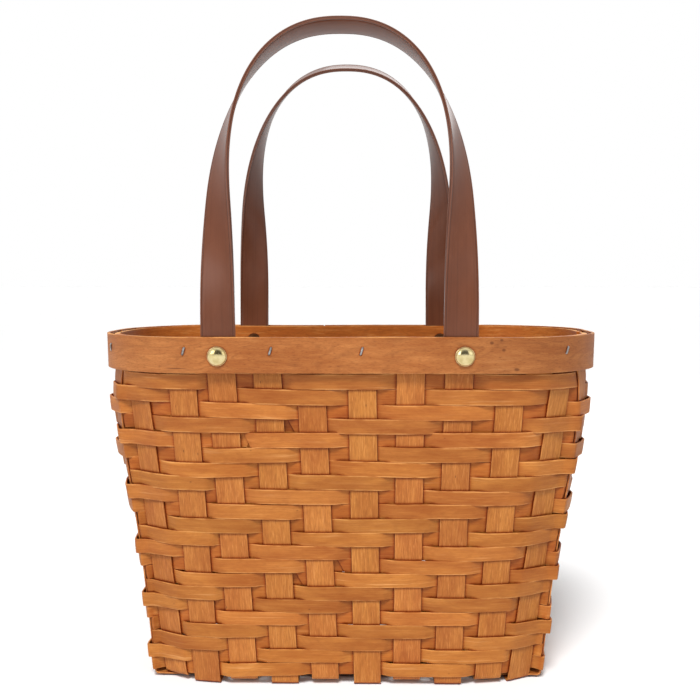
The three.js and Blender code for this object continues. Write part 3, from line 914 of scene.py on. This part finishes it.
def crossHeight(cross):
    def heightAt(point):
        flat = stakeStyle["width"] / 2 + stakeStyle["flatExtra"]
        for long in range(longCount):
            if point.y <= longPlace(long) + flat:
                break
        if long == 0 or point.y >= longPlace(long) - flat:
            return crossLevel(cross, long)
        gap = basketForm["longPitch"] - 2 * flat
        share = smooth((point.y - longPlace(long - 1) - flat) / gap)
        return crossLevel(cross, long - 1) * (1 - share) + crossLevel(cross, long) * share

    return heightAt


def longHeight(long):
    def heightAt(point):
        lift = 0
        for cross in range(crossCount):
            way = 1 if (cross + long) % 2 else -1
            near = 1 - abs(point.x - crossPlace(cross)) / stakeStyle["waveReach"]
            lift += way * smooth(near) * stakeStyle["longWave"]
        return basketForm["levels"][1] + lift

    return heightAt


def makeStakeStrip(name, start, end, heightAt, across, node):
    first = legPoints(start)
    last = turned(legPoints(end))
    path = Path(first + basePoints(first[-1], last[0], heightAt, across) + last)
    steps = len(path.points) - 1
    piece = addGrid(name, steps, stakeStyle["acrossSteps"])
    width = stakeStyle["width"]

    def place(u, v):
        centre, across, face = path.points[round(u * steps)]
        return centre + across * v * width + face * crossCup(v) * stakeStyle["cup"]

    layStrip(piece, place, path.total(), width)
    thicken(piece, stakeStyle["thickness"])
    easeEdges(piece, stakeStyle["easedEdge"])
    stampByChance(piece, stakeStyle["tones"])
    putOn(piece, "basket", woods["stakeWood"], "stake_wood", node)


for cross in range(crossCount):
    number = f"{cross + 1:02d}"
    ends = (cross, backStake(cross))
    across = Vector((1, 0, 0))
    makeStakeStrip("cross_strip_" + number, *ends, crossHeight(cross), across, "cross_stake_" + number)
for long in range(longCount):
    number = f"{long + 1:02d}"
    ends = (leftStake(long), rightStake(long))
    across = Vector((0, -1, 0))
    makeStakeStrip("long_strip_" + number, *ends, longHeight(long), across, "long_stake_" + number)
print("stakes woven across the base")

# weavers: the rows of the twill, each a strip led round all the stakes, with lapped ends
weaverStyle = {
    "thickness": 0.9 * mm,
    "easedEdge": 0.16 * mm,
    "offset": 1.0 * mm,
    "overHalf": 8.1 * mm,  # it runs straight this far to both sides of a stake's middle
    "overShare": 0.6,  # of each step in a row's count of stakes, the rest is the gap to the next
    "bow": 0.2 * mm,
    "endBow": 1.7 * mm,
    "endEase": 1.4,  # stakes over which the end walls' bow fades out
    "dip": 0.07,  # share of a step in which a row dips under
    "cup": 0.09 * mm,
    "wander": {"size": 1.5 * mm, "scale": 11, "rowStep": 0.31},
    "lean": {"size": 0.11, "scale": 8, "rowStep": 0.83, "start": 4.5},
    "widthExtra": 0.3 * mm,
    "overSteps": 6,
    "gapSteps": 7,
    "acrossSteps": 4,
    "lapDrop": 1.05 * mm,
    "lapEase": 9 * mm,
    "lapLength": 24,  # mm
    "shownLaps": {3: (3, 22), 4: (2, 6), 13: (4, 22), 14: (3, 22)},  # row: front stake, mm of lap
    "slant": 4.3 * mm,  # the ends are cut askew
    "tones": (0.9, 1.09),
}


def hoopTurn(z, offsets):
    # points round the basket, the ways up and out there, and the place counted in stakes
    edge, share = weaverStyle["overHalf"], weaverStyle["overShare"]
    overSteps, gapSteps = weaverStyle["overSteps"], weaverStyle["gapSteps"]
    frames = [stakeFrame(index, z) for index in range(stakeCount)]
    turn = []
    for index in range(stakeCount):
        centre, along, rise, out = frames[index]
        ahead = frames[(index + 1) % stakeCount]
        start = centre - along * edge + out * offsets[index]
        end = centre + along * edge + out * offsets[index]
        for step in range(overSteps):
            turn.append((start.lerp(end, step / overSteps), rise, out, index + share * step / overSteps))
        near = ahead[0] - ahead[1] * edge + ahead[3] * offsets[(index + 1) % stakeCount]
        pull = (near - end).length
        for step in range(gapSteps):
            t = step / gapSteps
            point = end * (2 * t ** 3 - 3 * t ** 2 + 1) + near * (3 * t ** 2 - 2 * t ** 3)
            point = point + along * pull * (t ** 3 - 2 * t ** 2 + t) + ahead[1] * pull * (t ** 3 - t ** 2)
            facing = out.lerp(ahead[3], smooth(t)).normalized()
            climb = rise.lerp(ahead[2], smooth(t)).normalized()
            turn.append((point, climb, facing, index + share + (1 - share) * t))
    return turn


def runBow(row, coordinate):
    # a weaver bows away from the stakes that it passes, most at the middle of a run
    here = int(coordinate)
    front = stakeInFront(row, here)
    first = last = here
    while stakeInFront(row, first - 1) == front:
        first -= 1
    while stakeInFront(row, last + 1) == front:
        last += 1
    share = (coordinate - first) / (last + weaverStyle["overShare"] - first)
    if share >= 1:
        return 0
    return (-1 if front else 1) * math.sin(math.pi * share)


def endShare(coordinate):
    # 1 on the two end walls, eased to 0 over the outermost stakes of the long walls
    ease = weaverStyle["endEase"]
    quarter = stakeCount // 4
    width = longCount - 1 + weaverStyle["overShare"]
    share = 0
    for first in (rightStake(0), leftStake(longCount - 1)):
        past = (coordinate - first + quarter) % stakeCount - quarter
        share = max(share, min(smooth((past + ease) / ease), 1 - smooth((past - width) / ease)))
    return share


def tuckedShare(row, coordinate):
    # 1 where a weaver runs behind the stakes, 0 where it runs in front, eased where it dips under
    first = math.floor(coordinate)
    before = 1 if stakeInFront(row, first) else 0
    after = 1 if stakeInFront(row, first + 1) else 0
    dip = weaverStyle["dip"]
    start = weaverStyle["overShare"] if before else 1 - dip
    return before + (after - before) * smooth((coordinate - first - start) / dip)


def drift(point, row, values):
    spot = (point.x * values["scale"], point.y * values["scale"])
    return noise.noise(Vector((*spot, row * values["rowStep"] + values.get("start", 0)))) * values["size"]


def makeWeaver(row):
    style = weaverStyle
    low, high = rowBoxes[row]
    width = high.z - low.z + style["widthExtra"]
    offsets = [style["offset"] * (-1 if stakeInFront(row, index) else 1) for index in range(stakeCount)]
    turn = hoopTurn(rowHeights[row], offsets)
    perStake = style["overSteps"] + style["gapSteps"]
    if row in style["shownLaps"]:
        lapStake, lapLength = style["shownLaps"][row]
        startStep = lapStake * perStake + style["overSteps"] + 1
    else:  # at the back, behind a stake
        half = stakeCount // 2
        lapStake = half + (twillStart(row) - half) % (2 * twill["run"])
        lapLength = style["lapLength"]
        startStep = lapStake * perStake + style["overSteps"] // 2
    ordered = turn[startStep:] + turn[:startStep]
    ordered = ordered + ordered[: perStake * 3]
    points = []
    for point, rise, out, coordinate in ordered:
        bowed = runBow(row, coordinate)
        onEnd = endShare(coordinate) if bowed > 0 else 0
        lift = bowed * (style["bow"] + (style["endBow"] - style["bow"]) * onEnd)
        tucked = Vector((tuckedShare(row, coordinate), 0, 0))
        points.append((point + out * lift + rise * drift(point, row, style["wander"]), rise, out, tucked))
    whole = Path(points[: len(turn) + 1]).total()
    path = Path(points)
    total = whole + lapLength * mm
    steps = round(len(turn) * total / whole)
    piece = addGrid(f"woven_row_{row + 1:02d}", steps, style["acrossSteps"])
    cut = 3 * style["slant"]
    laid = []

    def place(u, v):
        length = u * total
        if length < cut:
            length += (0.5 - v) * style["slant"] * (1 - length / cut)
        if length > total - cut:
            length -= (0.5 - v) * style["slant"] * (1 - (total - length) / cut)
        centre, rise, out, tucked = path.at(length)
        drop = style["lapDrop"] * smooth((length - whole + style["lapEase"]) / style["lapEase"])
        lean = drift(centre, row, style["lean"])
        spot = centre + rise * v * width + out * (crossCup(v) * style["cup"] - drop - v * width * lean)
        laid.append((spot, out, tucked.x))
        return spot

    layStrip(piece, place, total, width)
    thicken(piece, style["thickness"])
    # painted shade: each face is marked where it lies behind or against a stake
    shades = []
    for vertex in piece.data.vertices:
        spot, out, tucked = laid[vertex.index % len(laid)]
        shades.append(tucked if (vertex.co - spot).dot(out) > 0 else 1 - tucked)
    stampPoints(piece, "stripTuckShade", shades)
    easeEdges(piece, style["easedEdge"])
    stampByChance(piece, style["tones"])
    putOn(piece, "basket", woods["weaverWood"], "weaver_wood", f"weaver_{row + 1:02d}")


for row in range(twill["rows"]):
    makeWeaver(row)
print("weavers woven:", twill["rows"])

# rim bands, outside and inside the stakes; their offsets run from the middle of the stakes
bandStyle = {
    "height": 20.5 * mm,
    "outer": {
        "wall": 3.95 * mm,  # the straps hold the band off the long walls
        "end": 1.85 * mm,
        "endLean": 0.02,  # upright at the ends, where the wall leans away under it
        "thickness": 1.8 * mm,
        "seam": 379 * mm,
        "seamGap": 0.5 * mm,
        "topDip": 0.9 * mm,
    },
    "inner": {
        "wall": -2.65 * mm,
        "end": -2.65 * mm,
        "endLean": 0.145,
        "thickness": 3.4 * mm,
        "seam": 174 * mm,
        "seamGap": 8 * mm,
        "topDip": 1.4 * mm,
    },
    "wallLean": 0.083,
    "easedEdge": 0.4 * mm,
    "edgeSegments": 3,
    "wave": {"size": 0.35 * mm, "scale": 15, "rowStep": 0, "start": 3.1},
    "alongSteps": 420,
    "acrossSteps": 10,
    "tones": (0.97, 1.04),
}


def bandFrame(values, distance, z):
    # middle of a band at a place round the rim, and the way up it
    _, point, along = rimPoint(distance)
    out = along.cross(upward)
    lean = bandStyle["wallLean"] * out.y ** 2 + values["endLean"] * out.x ** 2
    offset = values["wall"] + (values["end"] - values["wall"]) * smooth(abs(out.x))
    point = point + out * (offset - lean * (basketForm["height"] - z))
    point.z = z
    return point, (upward + out * lean).normalized()


def makeBand(name, values, material, node):
    style = bandStyle
    middle = basketForm["height"] - style["height"] / 2
    whole = rimPoint(0)[0]
    piece = addGrid(name, style["alongSteps"], style["acrossSteps"])
    gap = values["seamGap"]

    def place(u, v):
        distance = values["seam"] + gap / 2 + u * (whole - gap)
        centre, rise = bandFrame(values, distance, middle)
        wave = drift(centre, 0, style["wave"])
        return centre + rise * (v * style["height"] + (wave - values["topDip"]) * (0.5 + v))

    layStrip(piece, place, whole, style["height"])
    thicken(piece, values["thickness"])
    easeEdges(piece, style["easedEdge"], style["edgeSegments"])
    stampByChance(piece, style["tones"])
    putOn(piece, "basket", material, "rim_wood", node)


makeBand("rim_band_outside", bandStyle["outer"], woods["rimWood"], "outer_rim_band")
makeBand("rim_band_inside", bandStyle["inner"], woods["rimWoodInside"], "inner_rim_band")
print("rim bands bent round the top")

# strap handles: each one strap, tucked behind the outer band at both ends
strapStyle = {
    "width": 18.5 * mm,
    "thickness": 2 * mm,
    "easedEdge": 0.45 * mm,
    "edgeSegments": 3,
    "tuck": 19.5 * mm,
    "hingeRise": 3 * mm,
    "offset": 1.75 * mm,
    "front": {"height": 166.8 * mm, "twist": 102, "stakes": (2, 7), "inward": 1, "seed": 3},
    "back": {"height": 162.2 * mm, "twist": 108.7, "stakes": (21, 16), "inward": -1, "seed": 11},
    "straight": 66 * mm,
    "squareness": 2.32,
    "inset": 21 * mm,
    "twistEase": 1.32,
    "outlineSteps": 900,
    "archSteps": 240,
    "tuckSteps": 18,
    "tangent": 0.002,  # share of the arch over which its way is taken
    "columns": (0, 0.02, 0.045, 0.06, 0.075, 0.095, 0.15, 0.25, 0.35, 0.5),
    "groove": {"inset": 0.06, "width": 0.014, "depth": 0.16 * mm},
    "cup": 0.7 * mm,  # the loop's inner face is rounded across
    "cupSteps": 40,
    "bend": (2.5 * mm, 9 * mm),  # below and above the flex line
}


def strapHinge(index):
    centre, _, rise, out = stakeFrame(index, basketForm["height"])
    return centre + out * strapStyle["offset"] + rise * strapStyle["hingeRise"], rise


def strapPoints(form):
    style = strapStyle
    inward = form["inward"]
    left, rise = strapHinge(form["stakes"][0])
    right, _ = strapHinge(form["stakes"][1])
    middle = (left + right) / 2
    halfSpan = (right - left).length / 2
    crown = form["height"] - style["hingeRise"] - style["straight"]
    rounding = 2 / style["squareness"]
    outline = [(Vector((-halfSpan, 0, 0)),)]
    for step in range(style["outlineSteps"] + 1):
        angle = math.pi * step / style["outlineSteps"]
        x = -halfSpan * math.copysign(abs(math.cos(angle)) ** rounding, math.cos(angle))
        z = style["straight"] + crown * max(math.sin(angle), 0) ** rounding
        outline.append((Vector((x, 0, z)),))
    outline.append((Vector((halfSpan, 0, 0)),))
    line = Path(outline)
    halfLength = line.total() / 2
    lean = abs(rise.y / rise.z)

    def pointAt(u):
        climb = 1 - abs(2 * u - 1)
        leanOut = lean * halfLength * climb * (1 - climb) ** 2
        leanIn = style["inset"] * climb * climb * (3 - 2 * climb)
        return line.at(u * line.total())[0] + middle + Vector((0, inward * (leanIn - leanOut), 0))

    points = []
    deep = style["tuck"] + style["hingeRise"]
    for step in range(style["tuckSteps"]):
        points.append((left - rise * deep * (1 - step / style["tuckSteps"]), Vector((1, 0, 0))))
    for step in range(style["archSteps"] + 1):
        u = step / style["archSteps"]
        climb = 1 - abs(2 * u - 1)
        along = pointAt(min(u + style["tangent"], 1)) - pointAt(max(u - style["tangent"], 0))
        into = along.cross(Vector((0, -1, 0))).normalized()
        sideways = into.cross(along.normalized()) * inward
        twist = math.radians(form["twist"]) * math.sin(climb * math.pi / 2) ** style["twistEase"]
        points.append((pointAt(u), into * math.cos(twist) + sideways * math.sin(twist)))
    for step in range(1, style["tuckSteps"] + 1):
        points.append((right - rise * deep * step / style["tuckSteps"], Vector((-1, 0, 0))))
    return points


def makeStrap(side):
    style = strapStyle
    form = style[side]
    path = Path(strapPoints(form))
    steps = len(path.points) - 1
    half = style["columns"]
    columns = [place - 0.5 for place in half] + [0.5 - place for place in reversed(half[:-1])]
    piece = addGrid(side + "_strap", steps, len(columns) - 1)
    width = style["width"]
    vertexPlace = []

    def place(u, v):
        step = round(u * steps)
        centre, across = path.points[step]
        column = columns[round((v + 0.5) * (len(columns) - 1))]
        vertexPlace.append(column)
        along = path.points[min(step + 1, steps)][0] - path.points[max(step - 1, 0)][0]
        inner = along.cross(across).normalized() * form["inward"]
        climb = min(step, steps - step) - style["tuckSteps"]
        cup = style["cup"] * smooth(climb / style["cupSteps"]) * crossCup(column)
        return centre + across * column * width + inner * cup

    layStrip(piece, place, path.total(), width)
    uvMap = piece.data.uv_layers.active
    for loop in piece.data.loops:
        uv = uvMap.data[loop.index].uv
        uvMap.data[loop.index].uv = (uv.x, vertexPlace[loop.vertex_index] * width)
    thicken(piece, style["thickness"])
    vertices = piece.data.vertices
    stampPoints(piece, "strapFace", [1 if vertex.index < len(vertexPlace) else -1 for vertex in vertices])
    # pressed line near both edges, on both faces
    normals = [vertex.normal.copy() for vertex in vertices]
    for vertex, normal in zip(vertices, normals):
        column = vertexPlace[vertex.index % len(vertexPlace)]
        reach = (0.5 - abs(column) - style["groove"]["inset"]) / style["groove"]["width"]
        vertex.co -= normal * style["groove"]["depth"] * math.exp(-reach * reach)
    easeEdges(piece, style["easedEdge"], style["edgeSegments"])
    stampStrip(piece, 1, form["seed"])
    nodes = [f"{side}_handle_strap", f"{side}_strap_end_left", f"{side}_strap_end_right"]
    putOn(piece, None, strapLeather, "strap", *nodes)
    hinge, _ = strapHinge(form["stakes"][0])
    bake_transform(piece)


makeStrap("front")
makeStrap("back")
print("strap handles made")


# what rivets and staples share: modelled once at the origin, then copied to the wall
def addLoose(name, data):
    piece = bpy.data.objects.new(name, data)
    bpy.context.scene.collection.objects.link(piece)
    return piece


def closeMesh(mergeWithin, smoothAngle):
    # in edit mode: merges doubles and turns the faces outwards
    bpy.ops.mesh.select_all(action="SELECT")
    bpy.ops.mesh.remove_doubles(threshold=mergeWithin)
    bpy.ops.mesh.normals_make_consistent(inside=False)
    bpy.ops.object.mode_set(mode="OBJECT")
    bpy.ops.object.shade_smooth_by_angle(angle=math.radians(smoothAngle))


def wallMatrix(index, z, shift=0, lift=0):
    centre, along, rise, out = stakeFrame(index, z)
    matrix = Matrix((along, rise, out)).transposed().to_4x4()
    matrix.translation = centre + along * shift + out * lift
    return matrix


def copyTo(model, name, matrix):
    copy = addLoose(name, model.data.copy())
    copy.data.name = name
    copy.data.transform(matrix)
    return copy


# brass rivets: head, shank and tail turned in one
rivetStyle = {
    "drop": 10.8 * mm,
    "headRadius": 5.3 * mm,
    "headHeight": 2.5 * mm,
    "lip": 0.45 * mm,
    "lipProfile": ((0.97, 0), (1, 4 / 15), (1, 0.7), (0.985, 1), (0.95, 1.15)),  # of radius and lip
    "shankRadius": 1.6 * mm,
    "tailRadius": 4.2 * mm,
    "tailHeight": 1.0 * mm,
    "tailProfile": ((0, 1), (0.55, 1), (0.9, 0.8), (1, 0.4), (1, 0)),  # of radius and height
    "seat": 4.9 * mm,
    "tailSeat": -4.4 * mm,
    "domeSteps": 10,
    "sides": 48,
    "mergeWithin": 0.01 * mm,
    "smoothAngle": 40,
    "stakes": {"front_left": 2, "front_right": 7, "back_left": 21, "back_right": 16},
    "shift": {2: -1 * mm, 7: 2.2 * mm},  # off the middle of its stake, along the wall
}


def modelRivet():
    style = rivetStyle
    seat, tail = style["seat"], style["tailSeat"]
    outline = []
    for wide, high in style["tailProfile"]:
        outline.append((style["tailRadius"] * wide, tail - style["tailHeight"] * high))
    outline += [(style["shankRadius"], tail), (style["shankRadius"], seat)]
    for wide, high in style["lipProfile"]:
        outline.append((style["headRadius"] * wide, seat + style["lip"] * high))
    domeRadius, domeFoot = outline[-1]
    for step in range(1, style["domeSteps"] + 1):
        angle = math.pi / 2 * step / style["domeSteps"]
        rise = (seat + style["headHeight"] - domeFoot) * math.sin(angle)
        outline.append((domeRadius * math.cos(angle), domeFoot + rise))
    mesh = bpy.data.meshes.new("rivet")
    edges = [(index, index + 1) for index in range(len(outline) - 1)]
    mesh.from_pydata([(max(radius, 0), 0, height) for radius, height in outline], edges, [])
    piece = addLoose("rivet", mesh)
    selectOnly(piece)
    bpy.ops.object.mode_set(mode="EDIT")
    bpy.ops.mesh.select_all(action="SELECT")
    bpy.ops.mesh.spin(steps=style["sides"], angle=2 * math.pi, center=(0, 0, 0), axis=(0, 0, 1))
    closeMesh(style["mergeWithin"], style["smoothAngle"])
    stampPoints(piece, "insideEnd", [1 if vertex.co.z < 0 else 0 for vertex in piece.data.vertices])
    return piece


rivetModel = modelRivet()
for place, index in rivetStyle["stakes"].items():
    side, end = place.split("_")
    shift = rivetStyle["shift"].get(index, 0)
    matrix = wallMatrix(index, basketForm["height"] - rivetStyle["drop"], shift)
    rivet = copyTo(rivetModel, f"{side}_brass_rivet_{end}", matrix)
    putOn(rivet, "basket", rivetBrass, "rivet_brass", f"{side}_rivet_{end}")
bpy.data.objects.remove(rivetModel)
print("rivets set:", len(rivetStyle["stakes"]))

# staples: a bent wire with both legs through the rim
stapleStyle = {
    "drop": 8 * mm,
    "length": 5 * mm,
    "wire": 0.45 * mm,
    "wireRounding": 2,
    "flatness": 1.3,
    "corner": 0.7 * mm,
    "cornerSteps": 5,
    "crown": 5.25 * mm,
    "tips": -1.9 * mm,
    "tilt": -17,
    "mergeWithin": 0.005 * mm,
    "smoothAngle": 50,
    "stakes": (1, 3, 5, 9, 11, 13, 15, 17, 19, 23, 25, 27),
    "shift": {1: 3.4 * mm, 3: 2.7 * mm, 9: -3.1 * mm},
}


def modelStaple():
    style = stapleStyle
    half = style["length"] / 2 - style["wire"]
    corner, steps = style["corner"], style["cornerSteps"]
    route = [(-half, style["tips"])]
    for side in (-1, 1):
        for step in range(steps + 1):
            angle = math.pi / 2 * (step if side < 0 else steps - step) / steps
            y = side * (half - corner * (1 - math.cos(angle)))
            route.append((y, style["crown"] - corner * (1 - math.sin(angle))))
    route.append((half, style["tips"]))
    curve = bpy.data.curves.new("staple", "CURVE")
    curve.dimensions = "3D"
    spline = curve.splines.new("POLY")
    spline.points.add(len(route) - 1)
    for point, (y, z) in zip(spline.points, route):
        point.co = (0, y, z, 1)
    curve.bevel_depth = style["wire"]
    curve.bevel_resolution = style["wireRounding"]
    curve.use_fill_caps = True
    selectOnly(addLoose("staple", curve))
    bpy.ops.object.convert(target="MESH")
    piece = bpy.context.object
    bpy.ops.object.mode_set(mode="EDIT")
    closeMesh(style["mergeWithin"], style["smoothAngle"])
    piece.data.transform(Matrix.Scale(style["flatness"], 4, (1, 0, 0)))
    return piece


stapleModel = modelStaple()
for number, index in enumerate(stapleStyle["stakes"], 1):
    shift = stapleStyle["shift"].get(index, 0)
    z = basketForm["height"] - stapleStyle["drop"]
    centre, _, _, out = stakeFrame(index, z)
    lift = (bandFrame(bandStyle["outer"], stakes[index]["distance"], z)[0] - centre).dot(out)
    matrix = wallMatrix(index, z, shift, lift - bandStyle["outer"]["wall"])
    matrix = matrix @ Matrix.Rotation(math.radians(stapleStyle["tilt"]), 4, "Z")
    staple = copyTo(stapleModel, f"wire_staple_{number:02d}", matrix)
    putOn(staple, "basket", stapleSteel, "staple_steel", f"rim_staple_{number:02d}")
bpy.data.objects.remove(stapleModel)
print("staples driven:", len(stapleStyle["stakes"]))
